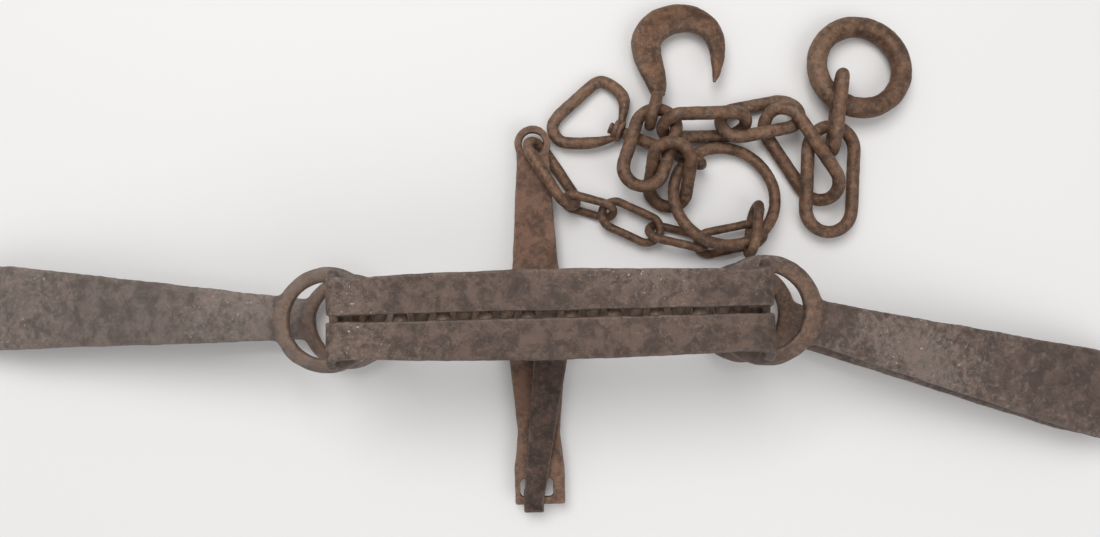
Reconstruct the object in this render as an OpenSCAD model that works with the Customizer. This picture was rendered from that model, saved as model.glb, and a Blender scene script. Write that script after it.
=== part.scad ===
// Double long-spring leghold trap, sprung, with its trap chain, drag chain, hook and rings.
// Origin at the middle of the base bar's underside, +X along the jaws, +Y towards the chain eyelet, +Z up.

/* [Base] */
// Width of the base bar and its posts
base_w = 30; // [26:1:34]
// Thickness of the base bar and its posts
base_t = 10; // [9:0.5:12]
// Thickness of the upturned posts
post_t = 8; // [6:0.5:9]
// Height of the jaw pivots above the ground
pivot_z = 64; // [62:0.5:66]
// Outside radius of the bend between base and post
base_bend_r = 9; // [8.5:0.5:9.5]

/* [Cross bar] */
// Place of the cross bar along the base
cross_x = -11; // [-20:1:20]
// Thickness of the cross bar
cross_t = 7; // [6:0.5:8]
// Reach of the cross bar towards the eyelet
cross_rear = 154; // [150:1:160]
// Reach of the cross bar towards the dog
cross_front = 146.5; // [140:0.5:150]
// Width of the cross bar where it crosses the base
cross_w = 44; // [40:1:48]
// Width of the cross bar at its rear neck
cross_neck_w = 27; // [24:1:30]
// Width of the eyelet end
eyelet_w = 30; // [28:1:34]
// Width of the eyelet's slot
eyelet_slot_w = 17; // [16.5:0.5:17.5]
// Length of the eyelet's slot
eyelet_slot_len = 18; // [17.5:0.5:20]
// Rim of metal round the end of the eyelet
eyelet_rim = 6; // [5:0.5:7]
// Width of the cross bar's front waist
cross_waist_w = 34; // [30:1:38]
// Width of the cross bar's front end
cross_end_w = 40; // [38:1:44]
// Diameter of the cross rivets
rivet_d = 6; // [5:0.5:6.5]
// Distance between the cross rivets
rivet_pitch = 30; // [28:1:30]
// Height of a rivet's head
rivet_head_h = 3; // [2:0.5:4]

/* [Jaws] */
// Length over the jaws
jaw_len = 306; // [300:1:312]
// Height of the closed jaws' top face
jaw_top = 125; // [120:1:130]
// Thickness of the jaw strap
strap_t = 7; // [6:0.5:8]
// Width of a jaw strap at its ends
strap_w = 25; // [22:0.5:28]
// How much wider the strap is in the middle
strap_bulge = 4; // [2:0.5:5]
// Gap between the closed jaws
jaw_gap = 4; // [3:0.5:5]
// Width of a jaw's leg where it passes the spring eye
leg_w = 9.5; // [8.5:0.5:10]
// Reach of a jaw's ear beyond its strap
ear_reach = 7; // [4:0.5:8]
// Diameter of a jaw's tenon
tenon_d = 7; // [6:0.5:7.5]
// Corner radius of the jaws
jaw_corner_r = 9; // [8:0.5:11]

/* [Teeth] */
// Distance between the teeth of one jaw
tooth_pitch = 30; // [28:1:32]
// Teeth on the rear jaw, one fewer on the front jaw
tooth_count = 9; // [7:1:9]
// Thickness of a tooth along the jaw
tooth_t = 5; // [4:0.5:7]
// Depth of a tooth below the strap
tooth_h = 9; // [7:0.5:10]
// Reach of a tooth past its own strap's edge
tooth_reach = 12; // [8:0.5:13]

/* [Springs] */
// Distance of the left eye's centre from the middle
left_eye_x = 158.5; // [157:0.5:160]
// Distance of the right eye's centre from the middle
right_eye_x = 153.5; // [153:0.5:156]
// Turn of the left spring towards the rear
left_turn = 3.5; // [0:0.5:10]
// Turn of the right spring towards the front
right_turn = 14.5; // [8:0.5:20]
// Inside radius of the spring eyes
eye_r = 27; // [26.5:0.1:28]
// Width of the left eye's band
left_band = 11; // [9:0.5:13]
// Width of the right eye's band
right_band = 13; // [10:0.5:13]
// Thickness of the eyes
eye_t = 10; // [8:0.5:10]
// Height of the upper eyes' top face
eye_top = 93; // [91:0.5:93]
// Thickness of the leaves
leaf_t = 7; // [6:0.5:8]
// Width of a leaf at its neck
leaf_neck_w = 34; // [30:1:38]
// Width of a leaf at the bow
leaf_bow_w = 66; // [60:1:70]
// Distance from the eye's centre to the bow's centre
bow_x = 285; // [275:1:290]
// Outside radius of the bow
bow_r = 17; // [15:0.5:19]

/* [Dog and pan] */
// Thickness of the dog
dog_t = 4; // [3:0.5:5]
// Width of the dog at its loop
dog_loop_w = 16; // [14:0.5:18]
// Width of the dog at its free end
dog_end_w = 27; // [22:0.5:28]
// Place of the dog's loop across the cross bar
dog_x = -16; // [-18:0.5:-14]
// Length of the dog from its loop to its free end
dog_len = 111; // [95:1:112]
// Sideways lean of the dog
dog_lean = 8; // [4:0.5:9]
// Rise of the dog's free part
dog_rise = 6; // [0:0.5:8]
// Length of the pan along the jaws
pan_len = 76; // [60:1:90]
// Width of the pan
pan_w = 40; // [36:1:42]
// Thickness of the pan
pan_t = 3; // [2.5:0.5:4]
// Diameter of the pan's pivot pin
pan_pin_d = 5; // [4:0.5:6]
// Drop of the sprung pan's rear edge in degrees
pan_drop = 18; // [12:0.5:18]

/* [Chain] */
// Wire of the eyelet link
eyelet_wire = 8.5; // [8:0.5:8.5]
// Wire of the small trap chain links
small_wire = 6.5; // [6:0.5:6.5]
// Wire of the trap chain link on the large ring
ring_link_wire = 7.5; // [7:0.5:7.5]
// Wire of the large ring
large_ring_wire = 9; // [8:0.5:9]
// Wire of the swivel's eye
swivel_wire = 8; // [7:0.5:8]
// Diameter of the swivel's stud
stud_d = 7; // [6:0.5:7.5]
// Wire of the swivel's loop
loop_wire = 10; // [9:0.5:10]
// Wire of the drag chain links
heavy_wire = 10; // [9:0.5:10]
// Wire of the hook's eye
hook_wire = 9; // [8:0.5:9]
// Thickness of the hook
hook_t = 11; // [9:0.5:11]
// Wire of the end ring
end_ring_wire = 16; // [14:0.5:16]

/* [Hidden] */
$fn = 64;
// Radial running clearance of pins, tenons and rivets
run_gap = 0.05;
// Clearance of pieces that lie on each other
seat_gap = 0.3;
// Clearance between a leg and its post
side_gap = 0.4;

jaw_hx = jaw_len / 2;
pivot_y = jaw_gap / 2 + leg_w / 2;
leg_out_y = jaw_gap / 2 + leg_w;
post_in_x = jaw_hx + side_gap;
post_out_x = post_in_x + post_t;
post_round_z = pivot_z - 4;
post_top = post_round_z + base_w / 2;
tenon_head_h = 2.5;
tenon_head_d = tenon_d + 2.5;
cross_top = base_t + cross_t;
strap_z0 = jaw_top - strap_t;
strap_y1 = jaw_gap / 2 + strap_w;
ear_z0 = eye_top + 4;
ear_z1 = ear_z0 + 6;
ear_z2 = ear_z1 + 5;
bulge_r = (pow(jaw_hx, 2) + pow(strap_bulge, 2)) / (2 * strap_bulge);

rivet_hole_d = rivet_d + 2 * run_gap;
rivet_head_ratio = 1.7;
hinge_bar_w = cross_t;
dog_y = -cross_front + hinge_bar_w / 2;
dog_z = base_t + cross_t / 2;
dog_loop_r = norm([hinge_bar_w, cross_t]) / 2 + seat_gap + side_gap;
dog_slot_len = 13;
dog_bend_y = 59;

pan_y = -22;
pan_z = cross_top + 17;
pan_barrel_r = pan_pin_d / 2 + 2.5;
pan_tongue_w = 12;
pan_ear_t = 4;
pan_ear_x = pan_tongue_w / 2 + side_gap;
pan_foot_t = 3;
pan_foot_w = 16;
tooth_depth = 0.6;
pan_rivet_d = 5;
pan_rivet_x = pan_ear_x + pan_ear_t + 4;
pan_foot_x = pan_rivet_x + pan_rivet_d;

iron = [0.42, 0.36, 0.33];
rust = [0.40, 0.30, 0.23];
dark = [0.33, 0.27, 0.23];

// Bar bent up or down at both ends, seen along Y, with rounded corners at the bend
module bent_bar(half_out, half_in, z_bend, z_end, t, r) {
    dir = z_end > z_bend ? 1 : -1;
    difference() {
        union() {
            translate([-half_out, min(z_bend + dir * r, z_end)])
                square([2 * half_out, abs(z_end - z_bend) - r]);
            translate([r - half_out, min(z_bend, z_end)]) square([2 * (half_out - r), abs(z_end - z_bend)]);
            for (sx = [-1, 1]) translate([sx * (half_out - r), z_bend + dir * r]) circle(r = r);
        }
        translate([-half_in, min(z_bend + dir * t, z_end + dir)])
            square([2 * half_in, abs(z_end - z_bend) - t + 1]);
    }
}

// Profile in X and Z, extruded along Y
module along_y(width) {
    rotate([90, 0, 0]) linear_extrude(height = width, center = true) children();
}

// Profile in Y and Z, extruded along X
module along_x(length) {
    rotate([90, 0, 90]) linear_extrude(height = length, center = true) children();
}

module pivot_bores(d) {
    for (sx = [-1, 1], sy = [-1, 1])
        translate([sx * (post_in_x + post_t / 2), sy * pivot_y, pivot_z])
            rotate([0, 90, 0]) cylinder(d = d, h = post_t + 2, center = true);
}

module at_cross_rivets() {
    for (sx = [-1, 1]) translate([cross_x + sx * rivet_pitch / 2, 0, 0]) children();
}

module at_pan_rivets() {
    for (sx = [-1, 1]) translate([cross_x + sx * pan_rivet_x, pan_y, 0]) children();
}

// Base bar with its posts turned up at the ends
module base_bar() color(dark) difference() {
    intersection() {
        along_y(base_w) bent_bar(post_out_x, post_in_x, 0, post_top, base_t, base_bend_r);
        along_x(2 * post_out_x + 2) union() {
            translate([-base_w / 2, 0]) square([base_w, post_round_z]);
            translate([0, post_round_z]) circle(d = base_w);
        }
    }
    pivot_bores(tenon_d + 2 * run_gap);
    at_cross_rivets() translate([0, 0, -1]) cylinder(d = rivet_hole_d, h = base_t + 2);
}

// Outline of the cross bar from half-widths along its length
module cross_outline() {
    eyelet_y = cross_rear - eyelet_w / 2;
    neck_y = eyelet_y - eyelet_w * 0.45;
    shoulder = [cross_w * 0.41, base_w * 1.5];
    waist = [cross_waist_w / 2, -cross_front * 0.61];
    toe = [cross_end_w / 2, -cross_front * 0.82];
    right = [
        [cross_neck_w / 2, eyelet_y], [cross_neck_w / 2, neck_y], shoulder,
        [cross_w / 2, base_w / 2], [cross_w / 2, -base_w], waist, toe,
        [cross_end_w / 2, -cross_front]];
    polygon(concat([for (p = right) [-p[0], p[1]]], [for (i = [len(right) - 1 : -1 : 0]) right[i]]));
    translate([0, eyelet_y]) circle(d = eyelet_w);
}

// Cross bar riveted across the base, with the chain's eyelet and the dog's slot
module cross_bar() color(iron) difference() {
    translate([cross_x, 0, base_t]) linear_extrude(height = cross_t) cross_outline();
    translate([cross_x, cross_rear - eyelet_rim - eyelet_slot_len / 2, base_t - 1])
        linear_extrude(height = cross_t + 2) union() {
            square([eyelet_slot_w, eyelet_slot_len - eyelet_slot_w], center = true);
            for (s = [-1, 1])
                translate([0, s * (eyelet_slot_len - eyelet_slot_w) / 2]) circle(d = eyelet_slot_w);
        }
    translate([dog_x - dog_loop_w / 2 - 2, -cross_front + hinge_bar_w, base_t - 1])
        cube([dog_loop_w + 9, dog_slot_len, cross_t + 2]);
    at_cross_rivets() cylinder(d = rivet_hole_d, h = cross_top + 1);
    at_pan_rivets() cylinder(d = pan_rivet_d + 2 * run_gap, h = cross_top + 1);
}

// Rivet with its shank ending flush and a tapered head
module rivet(d, z0, z1, head_h) {
    translate([0, 0, z0]) cylinder(d = d, h = z1 - z0);
    translate([0, 0, z1]) cylinder(d1 = d * rivet_head_ratio, d2 = d, h = head_h);
}

module cross_rivets() color(dark) at_cross_rivets() rivet(rivet_d, 0, cross_top, rivet_head_h);

module pan_rivets() color(dark) at_pan_rivets()
    rivet(pan_rivet_d, base_t, cross_top + pan_foot_t, 2);

// Foot with two ears that carry the pan's pin
module pan_bracket() color(dark) translate([cross_x, pan_y, 0]) difference() {
    union() {
        translate([-pan_foot_x, -pan_foot_w / 2, cross_top]) cube([2 * pan_foot_x, pan_foot_w, pan_foot_t]);
        for (s = [-1, 1]) translate([s * (pan_ear_x + pan_ear_t / 2), 0, 0]) along_x(pan_ear_t) union() {
            translate([-pan_barrel_r, cross_top]) square([2 * pan_barrel_r, pan_z - cross_top]);
            translate([0, pan_z]) circle(r = pan_barrel_r);
        }
    }
    translate([0, 0, pan_z]) rotate([0, 90, 0])
        cylinder(d = pan_pin_d + 2 * run_gap, h = 2 * pan_foot_x, center = true);
    for (s = [-1, 1]) translate([s * pan_rivet_x, 0, cross_top - 1])
        cylinder(d = pan_rivet_d + 2 * run_gap, h = pan_foot_t + 2);
}

module pan_pin() color(dark) translate([cross_x, pan_y, pan_z]) rotate([0, 90, 0]) {
    cylinder(d = pan_pin_d, h = 2 * (pan_ear_x + pan_ear_t + 0.2), center = true);
    for (s = [-1, 1]) translate([0, 0, s * (pan_ear_x + pan_ear_t + 1.2)])
        cylinder(d = pan_pin_d + 2.5, h = 2, center = true);
}

// Trigger plate, dropped on its pin as it lies when the trap is sprung
module pan() color(rust) translate([cross_x, pan_y, pan_z]) rotate([-pan_drop, 0, 0]) difference() {
    corner = pan_w * 0.35;
    plate_y = pan_barrel_r + 2;
    union() {
        rotate([0, 90, 0]) cylinder(r = pan_barrel_r, h = pan_tongue_w, center = true);
        translate([-pan_tongue_w / 2, 0, -pan_t / 2]) cube([pan_tongue_w, plate_y + corner, pan_t]);
        translate([0, plate_y + pan_w / 2, -pan_t / 2]) linear_extrude(height = pan_t) union() {
            square([pan_len - 2 * corner, pan_w], center = true);
            square([pan_len, pan_w - 2 * corner], center = true);
            for (sx = [-1, 1], sy = [-1, 1])
                translate([sx * (pan_len / 2 - corner), sy * (pan_w / 2 - corner)]) circle(r = corner);
        }
    }
    rotate([0, 90, 0]) cylinder(d = pan_pin_d + 2 * run_gap, h = pan_tongue_w + 2, center = true);
}

// Dog looped round the bar at the cross bar's front end
module dog() color(rust) translate([dog_x, dog_y, dog_z]) difference() {
    rise = (dog_len - dog_bend_y) * tan(dog_rise);
    shift = dog_len * tan(dog_lean);
    union() {
        rotate([0, 90, 0]) cylinder(r = dog_loop_r + dog_t, h = dog_loop_w, center = true);
        intersection() {
            along_x(4 * dog_end_w) translate([0, dog_loop_r]) polygon([
                [0, 0], [dog_bend_y, 0], [dog_len, rise],
                [dog_len, rise + dog_t], [dog_bend_y, dog_t], [0, dog_t]]);
            linear_extrude(height = 60) polygon([
                [-dog_loop_w / 2, 0], [dog_loop_w / 2, 0],
                [shift + dog_end_w / 2, dog_len], [shift - dog_end_w / 2, dog_len]]);
        }
    }
    rotate([0, 90, 0]) cylinder(r = dog_loop_r, h = dog_loop_w + 2, center = true);
}

// Side outline of a jaw's leg with the ear that stops the spring's eye
module leg_outline() {
    ear_y = strap_y1 + ear_reach;
    polygon([[jaw_gap / 2, pivot_z], [leg_out_y, pivot_z], [leg_out_y, ear_z0],
             [ear_y, ear_z1], [ear_y, ear_z2], [strap_y1, jaw_top - strap_t / 2],
             [strap_y1, jaw_top], [jaw_gap / 2, jaw_top]]);
}

// Rear jaw: a strap bent down at both ends, its tenons in the posts
module jaw() {
    intersection() {
        along_y(4 * strap_y1) bent_bar(jaw_hx, jaw_hx - strap_t, jaw_top, pivot_z, strap_t, jaw_corner_r);
        union() {
            along_x(jaw_len + 2) leg_outline();
            translate([0, 0, strap_z0 - 1]) linear_extrude(height = strap_t + 2) intersection() {
                translate([-jaw_hx, jaw_gap / 2]) square([jaw_len, strap_w + strap_bulge]);
                translate([0, strap_y1 + strap_bulge - bulge_r]) circle(r = bulge_r, $fn = 360);
            }
        }
    }
    for (sx = [-1, 1]) translate([0, pivot_y, pivot_z]) rotate([0, sx * 90, 0]) {
        translate([0, 0, jaw_hx - strap_t]) cylinder(d = leg_w, h = strap_t);
        translate([0, 0, jaw_hx - 1]) cylinder(d = tenon_d, h = post_t + side_gap + seat_gap + 1.5);
        translate([0, 0, post_out_x + seat_gap]) cylinder(d = tenon_head_d, h = tenon_head_h);
    }
}

module jaw_rear() color(iron) jaw();
module jaw_front() color(iron) mirror([0, 1, 0]) jaw();

// Teeth under a strap, pointing across the gap
module teeth(count) {
    face_y = jaw_gap / 2;
    back_y = strap_y1 * tooth_depth;
    point_z = strap_z0 - tooth_h * tooth_depth;
    for (i = [0 : count - 1]) translate([(i - (count - 1) / 2) * tooth_pitch, 0, 0])
        along_x(tooth_t) polygon([
            [back_y, strap_z0], [face_y + 0.5, strap_z0], [face_y - tooth_reach, point_z],
            [face_y, strap_z0 - tooth_h], [back_y, strap_z0 - tooth_h]]);
}

module rear_teeth() color(dark) teeth(tooth_count);
module front_teeth() color(dark) mirror([0, 1, 0]) teeth(tooth_count - 1);

// Sector of an annulus between two angles
module sector(r0, r1, a0, a1) {
    intersection() {
        difference() { circle(r = r1); circle(r = r0); }
        polygon(concat([[0, 0]],
            [for (i = [0 : 8]) let (a = a0 + (a1 - a0) * i / 8) 2 * r1 * [cos(a), sin(a)]]));
    }
}

bow_split = 60;
bow_gap_a = 1.5;
leaf_taper_end = bow_x - 23;
leaf_taper_start = 45;

// Plan of a leaf from its neck to the bow
module leaf_plan() {
    x0 = eye_r + 1;
    x1 = bow_x + bow_r + 1;
    polygon([[x0, -leaf_neck_w / 2], [leaf_taper_start, -leaf_neck_w / 2], [leaf_taper_end, -leaf_bow_w / 2],
             [x1, -leaf_bow_w / 2], [x1, leaf_bow_w / 2], [leaf_taper_end, leaf_bow_w / 2],
             [leaf_taper_start, leaf_neck_w / 2], [x0, leaf_neck_w / 2]]);
}

// Straight strip from a point to its tangent on the bow, then round the bow to the split
module leaf_profile(from, side) {
    to_bow = [bow_x, bow_r] - from;
    slope = atan2(to_bow[1], to_bow[0]) + side * asin(bow_r / norm(to_bow));
    out = side * [-sin(slope), cos(slope)];
    bow = [bow_x, bow_r];
    polygon([from, bow + bow_r * out, bow + (bow_r - leaf_t) * out, from - leaf_t * out]);
    translate(bow) if (side > 0)
        sector(bow_r - leaf_t, bow_r, bow_split + bow_gap_a, 91 + slope);
    else
        sector(bow_r - leaf_t, bow_r, slope - 91, bow_split);
}

// One leaf with its eye, side 1 is the upper leaf and -1 the lower leaf with the bow
module leaf(side, band, eye_z) {
    from = [eye_r + 2, side > 0 ? eye_z + eye_t - 1 : eye_z + 1];
    difference() {
        union() {
            translate([0, 0, eye_z]) cylinder(r = eye_r + band, h = eye_t, $fn = 128);
            intersection() {
                along_y(leaf_bow_w + 2) leaf_profile(from, side);
                linear_extrude(height = 2 * eye_top) leaf_plan();
            }
        }
        translate([0, 0, eye_z - 1]) cylinder(r = eye_r, h = eye_t + 2, $fn = 128);
    }
}

module at_left() { translate([-left_eye_x, 0, 0]) rotate([0, 0, 180 - left_turn]) children(); }
module at_right() { translate([right_eye_x, 0, 0]) rotate([0, 0, -right_turn]) children(); }

module left_lower_leaf() color(iron) at_left() leaf(-1, left_band, base_t + seat_gap);
module left_upper_leaf() color(iron) at_left() leaf(1, left_band, eye_top - eye_t);
module right_lower_leaf() color(iron) at_right() leaf(-1, right_band, base_t + seat_gap);
module right_upper_leaf() color(iron) at_right() leaf(1, right_band, eye_top - eye_t);

eyelet_link_size = [70, 34];
trap_link_2_size = [47, 25];
trap_link_3_size = [56, 28];
trap_link_4_size = [54, 26];
trap_link_5_size = [62, 26];
trap_link_6_size = [50, 29];
large_ring_d = 91.4;
drag_link_1_size = [66, 40];
drag_link_2_size = [76, 42];
drag_link_3_size = [78, 38];
drag_link_4_size = [74, 40];
drag_link_5_size = [93, 42];
drag_link_6_size = [95, 48];
drag_link_7_size = [72, 38];
end_ring_d = 86;

swivel_place = [114.5, 123.5, 15];
swivel_turn = [3, 4.5, 155.5];
swivel_eye_d = 30;
swivel_bar_w = 10.5;
collar_x = 58;
collar_len = 8;
collar_d = 18;
stud_head_d = stud_d + 3;
stud_head_h = 3.5;

hook_eye_d = 34;
hook_outer = [56.5, -6];
hook_outer_r = 38;
hook_inner = [53, -12.5];
hook_inner_r = 19.5;
hook_arm_x = 50;
hook_tip = [34, -41.5];
hook_neck = [46.5, 6];
hook_shank_w = 10;

// Piece laid at its place in the heap, its length along X before turning
module at(place, turn) { translate(place) rotate(turn) children(); }

// Round wire bent into a closed oval
module link(size, wire) {
    r = (size[1] - wire) / 2;
    straight = size[0] - size[1];
    for (s = [-1, 1]) {
        translate([0, s * r, 0]) rotate([0, 90, 0]) cylinder(d = wire, h = straight, center = true);
        translate([s * straight / 2, 0, 0]) rotate([0, 0, -s * 90])
            rotate_extrude(angle = 180) translate([r, 0]) circle(d = wire);
    }
}

// Round wire bent into a ring
module ring(outside_d, wire) {
    rotate_extrude() translate([(outside_d - wire) / 2, 0]) circle(d = wire);
}

// Round wire along straight runs, a little thicker at each bend
module wire_path(points, wire) {
    for (i = [0 : len(points) - 2]) let (run = points[i + 1] - points[i]) translate(points[i])
        rotate([0, 90, atan2(run[1], run[0])]) cylinder(d = wire, h = norm(run));
    for (i = [1 : len(points) - 2]) translate(points[i]) sphere(d = wire + 2 * seat_gap);
}

// Trap chain from the eyelet to the large ring
module eyelet_link() color(rust)
    at([4, 114.5, 15.5], [120.5, -0.5, -57.5]) link(eyelet_link_size, eyelet_wire);
module trap_link_2() color(rust) at([33, 88, 11.5], [60, 0, -17]) link(trap_link_2_size, small_wire);
module trap_link_3() color(rust) at([66.5, 74.5, 11], [-177, 0.5, -26]) link(trap_link_3_size, small_wire);
module trap_link_4() color(rust) at([103.5, 62, 11], [128.5, 0, -14.5]) link(trap_link_4_size, small_wire);
module trap_link_5() color(rust)
    at([146.5, 59.5, 8.5], [-150.5, 1, 10.5]) link(trap_link_5_size, small_wire);
module trap_link_6() color(rust)
    at([163, 65.5, 18.5], [-91.5, -21.5, -103.5]) link(trap_link_6_size, ring_link_wire);
module large_ring() color(rust) at([141, 93, 17.5], [-12, 6, 1.5]) ring(large_ring_d, large_ring_wire);

// Swivel with an eye on the large ring and a headed stud in the loop's collar
module swivel_body() color(rust) at(swivel_place, swivel_turn) {
    bar_x = (swivel_eye_d - swivel_wire) / 2 + 1;
    bar_end = collar_x - side_gap;
    head_x = collar_x + collar_len + side_gap;
    rotate([90, 0, 0]) ring(swivel_eye_d, swivel_wire);
    translate([bar_x, 0, 0]) rotate([90, 0, 90]) linear_extrude(height = bar_end - bar_x) union() {
        square([swivel_bar_w - swivel_wire, swivel_wire], center = true);
        for (s = [-1, 1]) translate([s * (swivel_bar_w - swivel_wire) / 2, 0]) circle(d = swivel_wire);
    }
    rotate([0, 90, 0]) translate([0, 0, bar_end - 1]) cylinder(d = stud_d, h = head_x - bar_end + 2);
    rotate([0, 90, 0]) translate([0, 0, head_x]) cylinder(d = stud_head_d, h = stud_head_h);
}

// Three-cornered loop whose collar turns on the swivel's stud
module swivel_loop() color(rust) at(swivel_place, swivel_turn) difference() {
    union() {
        rotate([0, 90, 0]) translate([0, 0, collar_x]) cylinder(d = collar_d, h = collar_len);
        wire_path([[62, -7.6], [66, -23], [71, -29], [87, -34], [94, -31], [113, 10], [112, 18], [104, 25.5],
                   [96, 25.5],
                   [60, 9]], loop_wire);
    }
    rotate([0, 90, 0]) translate([0, 0, collar_x - 1])
        cylinder(d = stud_d + 2 * run_gap, h = collar_len + 2);
}

// Drag chain from the large ring to the end ring
module drag_link_1() color(rust)
    at([97.5, 110, 22], [-14.5, -35.5, 83.5]) link(drag_link_1_size, heavy_wire);
module drag_link_2() color(rust) at([82, 132, 24.5], [-6.5, 7.5, 70.5]) link(drag_link_2_size, heavy_wire);
module drag_link_3() color(rust) at([126.5, 150, 20], [61, 7.5, 2]) link(drag_link_3_size, heavy_wire);
module drag_link_4() color(rust) at([172.5, 155.5, 13.5], [-31, 2, 10]) link(drag_link_4_size, heavy_wire);
module drag_link_5() color(rust)
    at([203.5, 125, 17.5], [-137.5, 3.5, -57.5]) link(drag_link_5_size, heavy_wire);
module drag_link_6() color(rust) at([226.5, 105, 14.5], [5.5, -3, 86]) link(drag_link_6_size, heavy_wire);
module drag_link_7() color(rust) at([233.5, 158, 19], [-101, 0.5, 80.5]) link(drag_link_7_size, heavy_wire);
module end_ring() color(rust) at([254.5, 196, 13.5], [-8, 3.5, -4.5]) ring(end_ring_d, end_ring_wire);

// Plan of the hook: an off-centre ring cut open at the mouth, with a drawn-out point and a shank
module hook_outline() {
    shank_x = (hook_eye_d - hook_wire) / 2 + 1.5;
    arm_out_y = hook_outer[1] - sqrt(pow(hook_outer_r, 2) - pow(hook_outer[0] - hook_arm_x, 2));
    arm_in_y = hook_inner[1] - sqrt(pow(hook_inner_r, 2) - pow(hook_inner[0] - hook_arm_x, 2));
    difference() {
        translate(hook_outer) circle(r = hook_outer_r, $fn = 128);
        translate(hook_inner) circle(r = hook_inner_r, $fn = 128);
        polygon([
            hook_neck, [shank_x, -hook_shank_w / 2], [0, -20], [0, -60],
            [hook_arm_x, -60], [hook_arm_x, hook_inner[1]]]);
    }
    polygon([[hook_arm_x + 0.5, arm_out_y + 0.2], [hook_arm_x + 0.5, arm_in_y], hook_tip]);
    polygon([hook_neck, [34, 14], [23, 11], [shank_x, hook_shank_w / 2], [shank_x, -hook_shank_w / 2]]);
}

// Drag hook with an upright eye
module hook() color(rust) at([86.5, 163, 20.5], [-4.5, 7, 73.5]) {
    rotate([90, 0, 0]) ring(hook_eye_d, hook_wire);
    translate([0, 0, -hook_t / 2]) linear_extrude(height = hook_t) hook_outline();
}

base_bar();
cross_bar();
cross_rivets();
pan_bracket();
pan_rivets();
pan_pin();
pan();
dog();
jaw_front();
jaw_rear();
front_teeth();
rear_teeth();
left_lower_leaf();
left_upper_leaf();
right_lower_leaf();
right_upper_leaf();
eyelet_link();
trap_link_2();
trap_link_3();
trap_link_4();
trap_link_5();
trap_link_6();
large_ring();
swivel_body();
swivel_loop();
drag_link_1();
drag_link_2();
drag_link_3();
drag_link_4();
drag_link_5();
drag_link_6();
drag_link_7();
hook();
end_ring();
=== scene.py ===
import math
import bmesh
import bpy
from mathutils import Euler, Matrix, Vector, noise


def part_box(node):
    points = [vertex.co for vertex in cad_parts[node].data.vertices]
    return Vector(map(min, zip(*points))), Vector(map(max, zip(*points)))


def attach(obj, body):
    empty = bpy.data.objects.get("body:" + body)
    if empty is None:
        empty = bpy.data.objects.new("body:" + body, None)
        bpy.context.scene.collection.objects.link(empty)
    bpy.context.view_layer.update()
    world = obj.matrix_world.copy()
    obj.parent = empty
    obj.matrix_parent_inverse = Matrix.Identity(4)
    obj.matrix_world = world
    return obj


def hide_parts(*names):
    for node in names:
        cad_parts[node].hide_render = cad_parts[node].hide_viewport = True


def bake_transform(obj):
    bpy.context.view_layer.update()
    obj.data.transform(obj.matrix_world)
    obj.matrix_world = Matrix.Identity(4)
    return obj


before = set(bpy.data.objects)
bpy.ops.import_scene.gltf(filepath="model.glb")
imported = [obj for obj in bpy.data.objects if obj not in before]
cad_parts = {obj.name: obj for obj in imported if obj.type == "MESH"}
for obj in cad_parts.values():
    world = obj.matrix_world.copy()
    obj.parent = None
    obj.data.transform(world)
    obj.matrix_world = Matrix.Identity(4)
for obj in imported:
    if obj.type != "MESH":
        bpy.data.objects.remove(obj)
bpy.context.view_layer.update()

# Table
# A pale sheet of paper under soft ceiling light, with the camera straight above,
# tipped a few degrees towards the chain.
scene = bpy.context.scene
scene.view_settings.view_transform = "Standard"

camera = bpy.data.objects.new("camera", bpy.data.cameras.new("camera"))
camera.data.sensor_width = 36
camera.data.lens = 29.45
camera_tip, camera_roll = math.radians(4), math.radians(-1.3)
camera.matrix_world = (Matrix.Translation((0.0007, -0.0116, 0.729))
                       @ Matrix.Rotation(camera_tip, 4, "X") @ Matrix.Rotation(camera_roll, 4, "Z"))
scene.collection.objects.link(camera)
scene.camera = camera

paper_mesh = bpy.data.meshes.new("paper")
paper_half, paper_z = 6, -0.0006
paper_mesh.from_pydata([(-paper_half, -paper_half, paper_z), (paper_half, -paper_half, paper_z),
                        (paper_half, paper_half, paper_z), (-paper_half, paper_half, paper_z)],
                       [], [(0, 1, 2, 3)])
paper = bpy.data.objects.new("paper", paper_mesh)
scene.collection.objects.link(paper)
paper_white = bpy.data.materials.new("paper_white")
paper_white.use_nodes = True
paper_white.node_tree.nodes["Principled BSDF"].inputs["Base Color"].default_value = (0.83, 0.815, 0.80, 1)
paper_white.node_tree.nodes["Principled BSDF"].inputs["Roughness"].default_value = 0.9
paper_mesh.materials.append(paper_white)

for lamp_name, place, size, power in (
        ("ceiling_lamp", (-0.35, 0.75, 1.9), 1.2, 24.5),
        ("window", (0.9, -0.9, 1.6), 1.3, 9)):
    lamp = bpy.data.objects.new(lamp_name, bpy.data.lights.new(lamp_name, "AREA"))
    lamp.data.size = size
    lamp.data.energy = power
    lamp.location = place
    lamp.rotation_euler = (Vector((0, 0, 0)) - Vector(place)).to_track_quat("-Z", "Y").to_euler()
    scene.collection.objects.link(lamp)
room = bpy.data.worlds.new("room")
scene.world = room
room.use_nodes = True
room.node_tree.nodes["Background"].inputs["Color"].default_value = (0.97, 0.98, 1.0, 1)
room.node_tree.nodes["Background"].inputs["Strength"].default_value = 0.46


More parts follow.
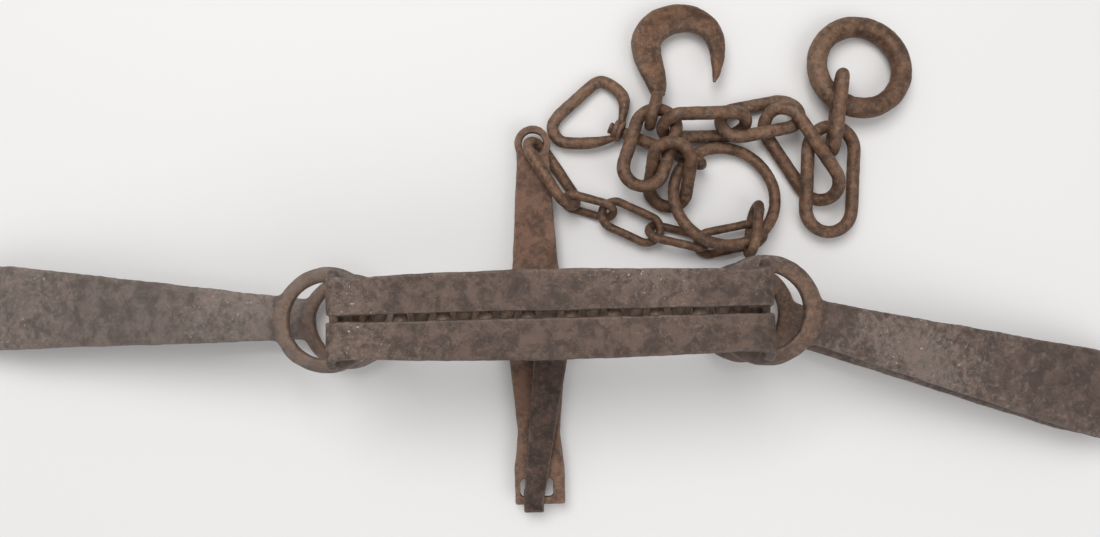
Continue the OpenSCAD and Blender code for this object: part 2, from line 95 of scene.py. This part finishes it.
# Base bar
# A flat wrought bar turned up at both ends into posts that hold the jaws' tenons,
# dark with old rust. Its edges are eased by the hammer.
class Thread:
    """A socket of a shader tree that takes part in ordinary sums."""

    def __init__(self, tree, socket=None):
        self.tree, self.socket = tree, socket

    def node(self, kind, inputs, settings=None, out=0):
        made = self.tree.nodes.new(kind)
        for key, value in (settings or {}).items():
            setattr(made, key, value)
        for key, value in inputs.items():
            if isinstance(value, Thread):
                self.tree.links.new(value.socket, made.inputs[key])
            else:
                made.inputs[key].default_value = value
        return Thread(self.tree, made.outputs[out])

    def maths(self, operation, a, b):
        return self.node("ShaderNodeMath", {0: a, 1: b}, {"operation": operation})

    def __add__(self, other):
        return self.maths("ADD", self, other)

    def __radd__(self, other):
        return self.maths("ADD", other, self)

    def __sub__(self, other):
        return self.maths("SUBTRACT", self, other)

    def __rsub__(self, other):
        return self.maths("SUBTRACT", other, self)

    def __mul__(self, other):
        return self.maths("MULTIPLY", self, other)

    def __rmul__(self, other):
        return self.maths("MULTIPLY", other, self)

    def rise(self, low, high):
        return self.node("ShaderNodeMapRange", {"Value": self, "From Min": low, "From Max": high},
                         {"interpolation_type": "SMOOTHSTEP"})

    def tint(self, under, over):
        return self.node("ShaderNodeMix", {0: self, 6: under, 7: over}, {"data_type": "RGBA"}, out=2)


def iron(name, dark, skin, worn, rust, rusty, wear, dusty, seed, rust_at=(9, 9, 0)):
    """Weathered wrought iron: a cloudy brown-grey skin, rust in patches and round rust_at, pits, dust,
    edges rubbed bright, and painted shade in its inside corners and creases."""
    made = bpy.data.materials.new(name)
    made.use_nodes = True
    shader = made.node_tree.nodes["Principled BSDF"]
    start = Thread(made.node_tree)
    here = start.node("ShaderNodeTexCoord", {}, out="Object")
    place = start.node("ShaderNodeMapping", {"Vector": here,
                                             "Location": (0.37 * seed, 0.53 * seed, 0.29 * seed)})
    plan = start.node("ShaderNodeVectorMath", {0: here, 1: (1, 1, 0)}, {"operation": "MULTIPLY"})
    near = start.node("ShaderNodeVectorMath", {0: plan, 1: rust_at}, {"operation": "DISTANCE"}, out="Value")

    def grain(scale, detail, roughness):
        return start.node("ShaderNodeTexNoise", {"Vector": place, "Scale": scale, "Detail": detail,
                                                 "Roughness": roughness, "Distortion": 0.4})

    broad, cloud = grain(10, 3, 0.5), grain(85, 9, 0.70)
    scale_marks, grit = grain(250, 7, 0.68), grain(1000, 3, 0.6)
    pits = start.node("ShaderNodeTexVoronoi", {"Vector": place, "Scale": 330, "Randomness": 1})
    edge = start.node("ShaderNodeNewGeometry", {}, out="Pointiness")
    # skin: dark hollows and a lighter, greyer bloom
    colour = (0.12 + 0.88 * cloud.rise(0.39, 0.61)).tint((*dark, 1), (*skin, 1))
    bloom = (broad * 0.55 + scale_marks * 0.6).rise(0.55, 0.72)
    colour = (bloom * 0.42).tint(colour, (*worn, 1))
    # rust in patches, redder in its middle
    patch = (broad * 0.25 + cloud * 0.45 + scale_marks * 0.5).rise(0.62 - 0.10 * rusty, 0.82 - 0.10 * rusty)
    inside = near.rise(0.040, 0.025) * scale_marks.rise(0.30, 0.56)
    rust_deep = tuple(c * 0.55 for c in rust)
    rust_colour = scale_marks.rise(0.35, 0.65).tint((*rust_deep, 1), (*rust, 1))
    colour = (patch * (0.8 * rusty) + inside * 0.75).tint(colour, rust_colour)
    # dark pits and pale dust
    hole = pits.rise(0.26, 0.06) * scale_marks.rise(0.46, 0.62)
    colour = (hole * 0.45).tint(colour, tuple(c * 0.5 for c in dark) + (1,))
    dust = grain(400, 2, 0.5).rise(0.675, 0.715) * broad.rise(0.46, 0.62) + grit.rise(0.64, 0.74) * 0.4
    colour = (dust * dusty).tint(colour, (0.52, 0.48, 0.43, 1))
    # edges rubbed bright; inside corners and creases darkened as painted shade
    rubbed = (edge + (scale_marks - 0.5) * 0.05).rise(0.505, 0.56)
    colour = (rubbed * wear).tint(colour, (*worn, 1))
    # painted shade: the colour is darkened where the surface is hollow, in corners and creases
    colour = (edge.rise(0.49, 0.43) * 0.6).tint(colour, tuple(c * 0.5 for c in dark) + (1,))
    relief = cloud * 0.8 + scale_marks * 0.7 + grit * 0.15 - hole * 0.6
    bump = start.node("ShaderNodeBump", {"Height": relief, "Strength": 0.6, "Distance": 0.0010})
    roughness = 0.46 + 0.24 * scale_marks + 0.14 * patch - 0.12 * rubbed
    for key, value in (("Base Color", colour), ("Roughness", roughness), ("Metallic", 0.42 - 0.34 * patch),
                       ("Normal", bump)):
        made.node_tree.links.new(value.socket, shader.inputs[key])
    shader.inputs["Specular IOR Level"].default_value = 0.4
    return made


def forged(name, nodes, finish, cell, ease, dent, seed):
    """A hand-forged copy of CAD nodes: edges eased, faces left uneven by the hammer."""
    shape = bmesh.new()
    for node in nodes:
        shape.from_mesh(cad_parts[node].data)
    bmesh.ops.remove_doubles(shape, verts=shape.verts, dist=1e-6)
    mesh = bpy.data.meshes.new(name)
    shape.to_mesh(mesh)
    shape.free()
    piece = bpy.data.objects.new(name, mesh)
    scene.collection.objects.link(piece)
    remesh = piece.modifiers.new("cells", "REMESH")
    remesh.mode, remesh.voxel_size, remesh.use_smooth_shade = "VOXEL", cell, True
    soften = piece.modifiers.new("ease", "SMOOTH")
    soften.factor, soften.iterations = 0.5, ease
    piece.data = bpy.data.meshes.new_from_object(piece.evaluated_get(bpy.context.evaluated_depsgraph_get()))
    piece.modifiers.clear()
    normals = [v.normal.copy() for v in piece.data.vertices]
    for vertex, normal in zip(piece.data.vertices, normals):
        at = vertex.co + Vector((seed, 0.7 * seed, 0.3 * seed))
        lift = noise.noise(at * 42) + 0.5 * noise.noise(at * 110) + 0.22 * noise.noise(at * 330)
        vertex.co += normal * (lift - 0.5) * dent
    for face in piece.data.polygons:
        face.use_smooth = True
    piece.data.materials.clear()
    piece.data.materials.append(finish)
    return piece


base_iron = iron("base_iron", dark=(0.035, 0.022, 0.016), skin=(0.090, 0.058, 0.043), worn=(0.21, 0.16, 0.125),
                 rust=(0.24, 0.105, 0.045), rusty=0.7, wear=0.35, dusty=0.2, seed=2.1)
base_bar = forged("forged_base_bar", ["base_bar"], base_iron, cell=0.0015, ease=5, dent=0.0005, seed=1.3)
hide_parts("base_bar")
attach(base_bar, "frame")

# Cross bar
# A flat bar riveted across the base. It narrows to the eyelet that holds the chain,
# and its front end is slotted for the dog.
cross_iron = iron("cross_iron", dark=(0.080, 0.044, 0.029), skin=(0.188, 0.103, 0.069), worn=(0.28, 0.205, 0.155),
                  rust=(0.25, 0.115, 0.055), rusty=0.6, wear=0.5, dusty=0.4, seed=5.4)
cross_bar = forged("forged_cross_bar", ["cross_bar"], cross_iron, cell=0.0013, ease=5, dent=0.0006, seed=4.2)
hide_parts("cross_bar")
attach(cross_bar, "frame")


# Rivets
# Round-headed iron rivets, hammered over. Two hold the cross bar on the base, and two
# smaller ones hold the pan's bracket.
def like_pieces_tree():
    """A row of like pieces, each a little different in size."""
    tree = bpy.data.node_groups.new("like_pieces", "GeometryNodeTree")
    for name, kind in (("Piece", "Geometry"), ("Count", "Int"), ("Start", "Vector"), ("Step", "Vector"),
                       ("Unevenness", "Float"), ("Seed", "Int"), ("Finish", "Material")):
        tree.interface.new_socket(name, in_out="INPUT", socket_type="NodeSocket" + kind)
    tree.interface.new_socket("Row", in_out="OUTPUT", socket_type="NodeSocketGeometry")
    add, join = tree.nodes.new, tree.links.new
    given, result = add("NodeGroupInput"), add("NodeGroupOutput")
    line, vary = add("GeometryNodeMeshLine"), add("FunctionNodeRandomValue")
    low, high = add("ShaderNodeMath"), add("ShaderNodeMath")
    place, real = add("GeometryNodeInstanceOnPoints"), add("GeometryNodeRealizeInstances")
    coat = add("GeometryNodeSetMaterial")
    low.operation, high.operation = "SUBTRACT", "ADD"
    low.inputs[0].default_value = high.inputs[0].default_value = 1
    vary.data_type = "FLOAT"
    join(given.outputs["Count"], line.inputs["Count"])
    join(given.outputs["Start"], line.inputs["Start Location"])
    join(given.outputs["Step"], line.inputs["Offset"])
    join(given.outputs["Unevenness"], low.inputs[1])
    join(given.outputs["Unevenness"], high.inputs[1])
    join(low.outputs[0], vary.inputs[2])
    join(high.outputs[0], vary.inputs[3])
    join(given.outputs["Seed"], vary.inputs["Seed"])
    join(line.outputs[0], place.inputs["Points"])
    join(given.outputs["Piece"], place.inputs["Instance"])
    join(vary.outputs[1], place.inputs["Scale"])
    join(place.outputs[0], real.inputs[0])
    join(real.outputs[0], coat.inputs["Geometry"])
    join(given.outputs["Finish"], coat.inputs["Material"])
    join(coat.outputs[0], result.inputs[0])
    return tree


def grown(piece, tree, **values):
    """Runs a tree on an object and keeps the result as a plain mesh at the origin."""
    maker = piece.modifiers.new(tree.name, "NODES")
    maker.node_group = tree
    names = {item.name: item.identifier for item in tree.interface.items_tree if item.in_out == "INPUT"}
    for name, value in values.items():
        maker[names[name]] = value
    bpy.context.view_layer.update()
    mesh = bpy.data.meshes.new_from_object(piece.evaluated_get(bpy.context.evaluated_depsgraph_get()))
    name = piece.name
    bpy.data.objects.remove(piece)
    mesh.name = name
    done = bpy.data.objects.new(name, mesh)
    scene.collection.objects.link(done)
    return done


def rivet(name, radius, low, high, head_radius, head_height):
    """One rivet turned about its own axis, with a hammered dome for a head."""
    outline = [(0, low), (radius, low), (radius, high)]
    dome_steps = 8
    for i in range(dome_steps + 1):
        a = math.pi / 2 * i / dome_steps
        outline.append((head_radius * math.cos(a), high + head_height * math.sin(a)))
    shape = bmesh.new()
    line = [shape.verts.new((x, 0, z)) for x, z in outline]
    edges = [shape.edges.new(pair) for pair in zip(line, line[1:])]
    bmesh.ops.spin(shape, geom=line + edges, axis=(0, 0, 1), cent=(0, 0, 0), angle=2 * math.pi, steps=28)
    bmesh.ops.remove_doubles(shape, verts=shape.verts, dist=1e-6)
    bmesh.ops.recalc_face_normals(shape, faces=shape.faces)
    for face in shape.faces:
        face.smooth = True
    mesh = bpy.data.meshes.new(name)
    shape.to_mesh(mesh)
    shape.free()
    made = bpy.data.objects.new(name, mesh)
    scene.collection.objects.link(made)
    return made


like_pieces = like_pieces_tree()
for rivet_node, head_h in (("cross_rivets", 0.003), ("pan_rivets", 0.002)):
    lowest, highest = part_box(rivet_node)
    head_r = (highest.y - lowest.y) / 2
    gap = highest.x - lowest.x - 2 * head_r
    shank_r, shank_low, shank_high = head_r * 0.6, lowest.z + 0.0002, highest.z - head_h
    one_rivet = rivet("forged_" + rivet_node, shank_r, shank_low, shank_high, head_r, head_h)
    rivets = grown(one_rivet, like_pieces, Count=2, Start=(lowest.x + head_r, (lowest.y + highest.y) / 2, 0),
                   Step=(gap, 0, 0), Unevenness=0.0, Seed=3, Finish=base_iron)
    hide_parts(rivet_node)
    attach(rivets, "frame")

# Pan, its bracket and pin
# The trigger plate under the jaws, a hammered sheet of iron on a pin between two ears
# that are riveted to the cross bar.
for pan_name, pan_body, pan_slot, pan_cell in (
        ("pan_bracket", "frame", "dark_iron", 0.0008),
        ("pan_pin", "frame", "dark_iron", 0.0008),
        ("pan", "pan", "rusty_iron", 0.0012)):
    pan_piece = forged("forged_" + pan_name, [pan_name], base_iron, cell=pan_cell, ease=3, dent=0.0003,
                       seed=7.7)
    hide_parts(pan_name)
    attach(pan_piece, pan_body)

# Dog
# The latch that holds the jaws open: a tapered flat bar, its end rolled into a loop round
# the bar at the cross bar's front.
# The dog's iron has its own dark tone, darkened further as painted shade for the jaws' shadow that lies across
# it.
dog_iron_painted_shade = iron("dog_iron_painted_shade", dark=(0.034, 0.020, 0.015), skin=(0.078, 0.048, 0.038), worn=(0.20, 0.15, 0.12),
                rust=(0.19, 0.085, 0.045), rusty=0.5, wear=0.6, dusty=0.3, seed=8.8)
dog = forged("forged_dog", ["dog"], dog_iron_painted_shade, cell=0.0011, ease=4, dent=0.0004, seed=9.1)
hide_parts("dog")
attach(dog, "dog")


# Jaws
# Two wrought straps bent down at the ends, with ears that stop the springs' eyes and
# tenons in the posts. Their broad tops are grey, pitted and rubbed along the edges.
def share(value, start, run):
    """How far a value has come through a run, from 0 to 1."""
    return min(1, max(0, (value - start) / run))


jaw_iron = iron("jaw_iron", dark=(0.058, 0.039, 0.031), skin=(0.132, 0.090, 0.071), worn=(0.30, 0.245, 0.21),
                rust=(0.20, 0.11, 0.068), rusty=0.5, wear=0.3, dusty=0.8, seed=11.3)
end_spread, end_x, end_run = 0.0045, 0.136, 0.018
edge_y, edge_run, top_z, top_run = 0.006, 0.024, 0.102, 0.010
for side, jaw_seed in (("front", 13.6), ("rear", 17.9)):
    jaw = forged("forged_jaw_" + side, ["jaw_" + side], jaw_iron, cell=0.0013, ease=9, dent=0.0006,
                 seed=jaw_seed)
    # the strap's ends are spread a little under the hammer
    for vertex in jaw.data.vertices:
        along = share(abs(vertex.co.x), end_x, end_run)
        outside = share(abs(vertex.co.y), edge_y, edge_run)
        high = share(vertex.co.z, top_z, top_run)
        vertex.co.y += math.copysign(end_spread * along * along * outside * high, vertex.co.y)
    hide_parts("jaw_" + side)
    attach(jaw, "jaw_" + side)


# Teeth
# Short wedge-shaped teeth set along the inside of each strap. Those of one jaw stand
# between those of the other.
def tooth(name, width, back, front, tip, top, bottom):
    """One tooth: a block under the strap that narrows to a blunt point across the gap."""
    half, middle = width / 2, (top * 0.35 + bottom * 0.65)
    tip_half, eased_edge = 0.0012, 0.0006
    shape = bmesh.new()
    rings = ((back, half, top, bottom), (front, half, top, bottom),
             (tip, half * 0.45, middle + tip_half, middle - tip_half))
    loops = []
    for y, w, high, low in rings:
        loops.append([shape.verts.new(v) for v in ((-w, y, high), (w, y, high), (w, y, low), (-w, y, low))])
    for a, b in zip(loops, loops[1:]):
        for i in range(4):
            shape.faces.new((a[i], a[(i + 1) % 4], b[(i + 1) % 4], b[i]))
    shape.faces.new(loops[0])
    shape.faces.new(loops[-1][::-1])
    bmesh.ops.bevel(shape, geom=shape.edges[:], offset=eased_edge, segments=2, affect="EDGES")
    bmesh.ops.recalc_face_normals(shape, faces=shape.faces)
    for face in shape.faces:
        face.smooth = True
    mesh = bpy.data.meshes.new(name)
    shape.to_mesh(mesh)
    shape.free()
    made = bpy.data.objects.new(name, mesh)
    scene.collection.objects.link(made)
    return made


tooth_iron = iron("tooth_iron", dark=(0.050, 0.031, 0.023), skin=(0.110, 0.068, 0.050), worn=(0.27, 0.20, 0.15),
                  rust=(0.25, 0.115, 0.05), rusty=0.7, wear=0.6, dusty=0.3, seed=14.2)
for side, tooth_count, tooth_seed in (("front", 8, 21), ("rear", 9, 22)):
    lowest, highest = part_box(side + "_teeth")
    across = 1 if side == "rear" else -1
    back_y, tip_y = (highest.y, lowest.y) if side == "rear" else (lowest.y, highest.y)
    tooth_w, tooth_root = 0.011, 0.002 * across
    step = (highest.x - lowest.x - tooth_w) / (tooth_count - 1)
    one_tooth = tooth("forged_" + side + "_teeth", tooth_w, back_y, tooth_root, tip_y, highest.z, lowest.z)
    teeth = grown(one_tooth, like_pieces, Count=tooth_count, Start=(lowest.x + tooth_w / 2, 0, 0),
                  Step=(step, 0, 0), Unevenness=0.0, Seed=tooth_seed, Finish=tooth_iron)
    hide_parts(side + "_teeth")
    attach(teeth, "jaw_" + side)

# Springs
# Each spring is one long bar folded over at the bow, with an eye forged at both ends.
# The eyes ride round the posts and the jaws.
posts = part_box("base_bar")
for side, spring_skin, post_x, spring_seed in (("left", (0.195, 0.153, 0.132), posts[0].x, 31.4),
                                               ("right", (0.138, 0.096, 0.079), posts[1].x, 37.2)):
    leaves = [side + "_lower_leaf", side + "_upper_leaf"]
    spring_iron = iron(side + "_spring_iron", dark=tuple(c * 0.56 for c in spring_skin), skin=spring_skin,
                       worn=(0.34, 0.29, 0.255), rust=(0.21, 0.12, 0.075), rusty=0.45, wear=0.3, dusty=0.55,
                       seed=spring_seed, rust_at=(post_x, 0, 0))
    spring = forged("forged_" + side + "_spring", leaves, spring_iron, cell=0.0015, ease=26, dent=0.0006,
                    seed=spring_seed)
    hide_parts(*leaves)
    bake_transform(spring)


# Chain links
# Hand-forged links of round bar, each bent to a long oval and welded near one end. The
# weld is a little thicker, and the bows are worn where the links rub.
def forged_bar_tree():
    """Round bar along a path, uneven in thickness, with a hammered face."""
    tree = bpy.data.node_groups.new("forged_bar", "GeometryNodeTree")
    for name, kind in (("Path", "Geometry"), ("Steps", "Int"), ("Unevenness", "Float"), ("Hammering", "Float"),
                       ("Seed", "Float"), ("Finish", "Material")):
        tree.interface.new_socket(name, in_out="INPUT", socket_type="NodeSocket" + kind)
    tree.interface.new_socket("Bar", in_out="OUTPUT", socket_type="NodeSocketGeometry")
    add, join = tree.nodes.new, tree.links.new
    given, result = add("NodeGroupInput"), add("NodeGroupOutput")

    def sums(operation, a, b):
        made = add("ShaderNodeMath")
        made.operation = operation
        for i, value in enumerate((a, b)):
            if isinstance(value, (int, float)):
                made.inputs[i].default_value = value
            else:
                join(value, made.inputs[i])
        return made.outputs[0]

    def wobble(scale):
        made = add("ShaderNodeTexNoise")
        made.noise_dimensions = "4D"
        made.inputs["Scale"].default_value = scale
        join(given.outputs["Seed"], made.inputs["W"])
        return sums("SUBTRACT", made.outputs[0], 0.5)

    even, thick = add("GeometryNodeResampleCurve"), add("GeometryNodeSetCurveRadius")
    sweep, ring = add("GeometryNodeCurveToMesh"), add("GeometryNodeCurvePrimitiveCircle")
    sweep.inputs["Fill Caps"].default_value = True
    radius = add("GeometryNodeInputRadius").outputs[0]
    join(given.outputs["Path"], even.inputs["Curve"])
    join(given.outputs["Steps"], even.inputs["Count"])
    join(even.outputs[0], thick.inputs["Curve"])
    uneven = sums("ADD", 1, sums("MULTIPLY", wobble(38), given.outputs["Unevenness"]))
    join(sums("MULTIPLY", radius, uneven), thick.inputs["Radius"])
    ring.inputs["Resolution"].default_value = 22
    ring.inputs["Radius"].default_value = 1
    join(thick.outputs[0], sweep.inputs["Curve"])
    join(ring.outputs[0], sweep.inputs["Profile Curve"])
    if "Scale" in sweep.inputs:
        join(radius, sweep.inputs["Scale"])
    push, move = add("ShaderNodeVectorMath"), add("GeometryNodeSetPosition")
    normal = add("GeometryNodeInputNormal")
    push.operation = "SCALE"
    join(normal.outputs[0], push.inputs[0])
    blows = sums("ADD", wobble(120), sums("MULTIPLY", wobble(330), 0.5))
    join(sums("MULTIPLY", blows, given.outputs["Hammering"]), push.inputs["Scale"])
    join(sweep.outputs[0], move.inputs["Geometry"])
    join(push.outputs[0], move.inputs["Offset"])
    smooth, real = add("GeometryNodeSetShadeSmooth"), add("GeometryNodeRealizeInstances")
    coat = add("GeometryNodeSetMaterial")
    join(move.outputs[0], smooth.inputs["Geometry"])
    join(smooth.outputs[0], real.inputs[0])
    join(real.outputs[0], coat.inputs["Geometry"])
    join(given.outputs["Finish"], coat.inputs["Material"])
    join(coat.outputs[0], result.inputs[0])
    return tree


def bar_path(name, strands, at, turn):
    """Paths in metres, from points in millimetres laid where the piece lies, each closed or open."""
    laid = Euler([math.radians(a) for a in turn], "XYZ").to_matrix()
    curve = bpy.data.curves.new(name, "CURVE")
    curve.dimensions = "3D"
    for points, radii, closed in strands:
        spline = curve.splines.new("POLY")
        spline.points.add(len(points) - 1)
        for target, point, radius in zip(spline.points, points, radii):
            target.co = (*((laid @ Vector(point) + Vector(at)) / 1000), 1)
            target.radius = radius / 1000
        spline.use_cyclic_u = closed
    made = bpy.data.objects.new(name, curve)
    scene.collection.objects.link(made)
    return made


def link_path(length, width, bar):
    """Points and radii round a long oval: thicker at the weld, worn at both bows."""
    bend, straight = (width - bar) / 2, (length - width) / 2
    steps, weld_at, weld_run, bow_run = 96, 1.9, 0.35, 0.3
    points, radii = [], []
    for i in range(steps):
        a = 2 * math.pi * i / steps
        points.append((math.copysign(straight, math.cos(a)) + bend * math.cos(a), bend * math.sin(a), 0))
        weld = math.exp(-((a - weld_at) / weld_run) ** 2)
        worn = math.exp(-(math.sin(a / 2) / bow_run) ** 2) + math.exp(-(math.cos(a / 2) / bow_run) ** 2)
        radii.append(bar / 2 * (1.03 + 0.05 * weld - 0.03 * worn))
    return points, radii, True


forged_bar = forged_bar_tree()
chain_iron = iron("chain_iron", dark=(0.060, 0.030, 0.018), skin=(0.150, 0.075, 0.041), worn=(0.26, 0.18, 0.13),
                  rust=(0.26, 0.125, 0.058), rusty=0.65, wear=0.6, dusty=0.35, seed=43.5)
for link_seed, (link, size, at, turn) in enumerate((
        ("eyelet_link", (70, 34, 8.5), (4, 114.5, 15.5), (120.5, -0.5, -57.5)),
        ("trap_link_2", (47, 25, 6.5), (33, 88, 11.5), (60, 0, -17)),
        ("trap_link_3", (56, 28, 6.5), (66.5, 74.5, 11), (-177, 0.5, -26)),
        ("trap_link_4", (54, 26, 6.5), (103.5, 62, 11), (128.5, 0, -14.5)),
        ("trap_link_5", (62, 26, 6.5), (146.5, 59.5, 8.5), (-150.5, 1, 10.5)),
        ("trap_link_6", (50, 29, 7.5), (163, 65.5, 18.5), (-91.5, -21.5, -103.5)),
        ("drag_link_1", (66, 40, 10), (97.5, 110, 22), (-14.5, -35.5, 83.5)),
        ("drag_link_2", (76, 42, 10), (82, 132, 24.5), (-6.5, 7.5, 70.5)),
        ("drag_link_3", (78, 38, 10), (126.5, 150, 20), (61, 7.5, 2)),
        ("drag_link_4", (74, 40, 10), (172.5, 155.5, 13.5), (-31, 2, 10)),
        ("drag_link_5", (93, 42, 10), (203.5, 125, 17.5), (-137.5, 3.5, -57.5)),
        ("drag_link_6", (95, 48, 10), (226.5, 105, 14.5), (5.5, -3, 86)),
        ("drag_link_7", (72, 38, 10), (233.5, 158, 19), (-101, 0.5, 80.5)))):
    chain_piece = grown(bar_path("forged_" + link, [link_path(*size)], at, turn), forged_bar, Steps=150,
                        Unevenness=0.10, Hammering=0.0009, Seed=3.7 * link_seed, Finish=chain_iron)
    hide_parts(link)
    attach(chain_piece, link)

# Rings
# The large ring joins the trap's chain to the drag chain, and the thick ring ends the
# drag chain. Both are round bar bent to a hoop and welded.
for ring_name, outside, bar, at, turn, ring_seed in (
        ("large_ring", 91.4, 9, (141, 93, 17.5), (-12, 6, 1.5), 61.0),
        ("end_ring", 86, 16, (254.5, 196, 13.5), (-8, 3.5, -4.5), 67.0)):
    hoop = grown(bar_path("forged_" + ring_name, [link_path(outside, outside, bar)], at, turn), forged_bar,
                 Steps=180, Unevenness=0.10, Hammering=0.0013, Seed=ring_seed, Finish=chain_iron)
    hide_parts(ring_name)
    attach(hoop, ring_name)

# Swivel
# A flat body with an eye on the large ring and a headed stud at its other end, which turns
# in the collar of a rounded, three-cornered loop.
swivel_body = forged("forged_swivel_body", ["swivel_body"], chain_iron, cell=0.0009, ease=6, dent=0.0005,
                     seed=71.0)
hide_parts("swivel_body")
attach(swivel_body, "swivel_body")


def eased(corners, steps):
    """A smooth open line through corners."""
    line = []
    ends = [corners[0]] + corners + [corners[-1]]
    for a, b, c, d in zip(ends, ends[1:], ends[2:], ends[3:]):
        for i in range(steps):
            t = i / steps
            line.append(tuple(0.5 * (2 * q + (r - p) * t + (2 * p - 5 * q + 4 * r - s) * t ** 2
                                     + (3 * q - p - 3 * r + s) * t ** 3) for p, q, r, s in zip(a, b, c, d)))
    return line + [corners[-1]]


loop_corners = ((62, -6.2), (66, -22.5), (73, -30), (87, -33.5), (95, -29), (104, -10), (112, 9),
                (111.5, 19), (103, 25.5), (94, 24.5), (76, 16.5), (62, 6.2))
loop_line = eased([(x, y, 0) for x, y in loop_corners], 10)
# the ends taper inside the collar
end_r, end_growth, end_steps = 2.4, 2.5, 12
last = len(loop_line) - 1
loop_radii = [end_r + end_growth * min(1, min(i, last - i) / end_steps) for i in range(last + 1)]
loop_strands = [(loop_line, loop_radii, False)]
wrap_r, wrap_bar_r, wrap_steps = 6.4, 2.3, 32
wrap_angles = [math.pi * i / (wrap_steps / 2) for i in range(wrap_steps)]
for wrap_x in (60.1, 63.9):
    wrap = [(wrap_x, wrap_r * math.cos(a), wrap_r * math.sin(a)) for a in wrap_angles]
    loop_strands.append((wrap, [wrap_bar_r] * wrap_steps, True))
swivel_at, swivel_turn = (114.5, 123.5, 15), (3, 4.5, 155.5)
swivel_loop = grown(bar_path("forged_swivel_loop", loop_strands, swivel_at, swivel_turn), forged_bar,
                    Steps=170, Unevenness=0.08, Hammering=0.0008, Seed=73.0, Finish=chain_iron)
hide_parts("swivel_loop")
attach(swivel_loop, "swivel_loop")

# Hook
# The drag hook, forged from heavy bar: an eye on the chain, a stout bend and a drawn-out
# point.
hook_at, hook_turn = (86.5, 163, 20.5), (-4.5, 7, 73.5)
hook_stations = ((13, -0.5, 5.4), (20, 2, 7.5), (28, 6.3, 9.2), (36.5, 11.8, 10.5), (46, 17, 11.6),
                 (57, 20, 12.4), (70, 15.5, 12.7), (80, 3.5, 12), (83.5, -11, 10.8), (80, -24, 9.2),
                 (71.5, -33, 7.7), (60, -38, 6.2), (50, -40, 4.7), (42, -41, 3.2), (35, -41, 1.2))
hook_line = eased(list(hook_stations), 8)
eye_r, eye_bar_r, eye_steps = 12.5, 4.5, 48
eye_angles = [math.pi * i / (eye_steps / 2) for i in range(eye_steps)]
eye_line = [(eye_r * math.cos(a), 0, eye_r * math.sin(a)) for a in eye_angles]
hook_strands = [([(x, y, 0) for x, y, r in hook_line], [r for x, y, r in hook_line], False),
                (eye_line, [eye_bar_r] * eye_steps, True)]
hook = grown(bar_path("forged_hook", hook_strands, hook_at, hook_turn), forged_bar, Steps=170,
             Unevenness=0.05, Hammering=0.0010, Seed=79.0, Finish=chain_iron)
# the bar is beaten flatter in its bend, and stays round in its eye
half_flat, flat_x, flat_run = 0.0068, 0.014, 0.006
hook_way = Euler([math.radians(a) for a in hook_turn], "XYZ")
laid_hook = Matrix.LocRotScale(Vector(hook_at) / 1000, hook_way, None)
for vertex in hook.data.vertices:
    local = laid_hook.inverted() @ vertex.co
    flat = share(local.x, flat_x, flat_run)
    local.z += flat * (half_flat * math.tanh(local.z / half_flat) - local.z)
    vertex.co = laid_hook @ local
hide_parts("hook")
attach(hook, "hook")
